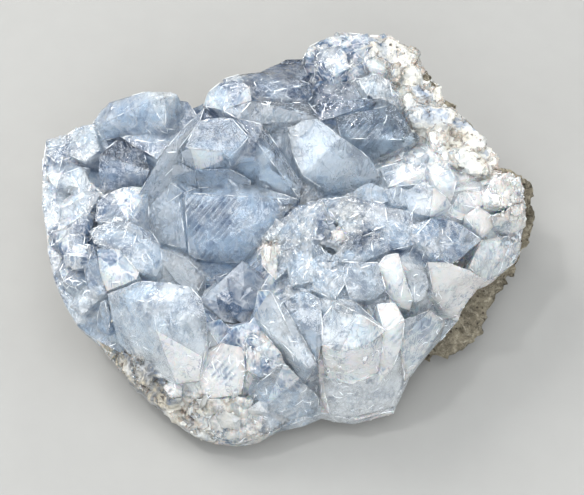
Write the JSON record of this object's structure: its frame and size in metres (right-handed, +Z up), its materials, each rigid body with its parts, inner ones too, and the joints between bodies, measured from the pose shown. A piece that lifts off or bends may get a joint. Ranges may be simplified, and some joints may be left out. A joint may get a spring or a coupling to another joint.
{
  "type": "celestite crystal cluster",
  "caption": "Hand-sized piece of geode wall: clear pale blue celestite crystals grown together round a shallow hollow, on white crust and a tan marl base.",
  "frame": {"origin": "middle of the piece's box, at the height of the flat that it rests on", "axes": "+Z up out of the hollow; +X to the viewer's right along the longest side; +Y away from the viewer, to the back rim"},
  "size_m": [0.0992, 0.0816, 0.0391],
  "materials": {
    "celestite": "clear pale blue glassy crystals, milky white at the rim",
    "marl": "rough dull tan rock with brown and black specks"
  },
  "bodies": {
    "root": {"celestite_crystals": "celestite", "marl_matrix": "marl"}
  },
  "joints": []
}
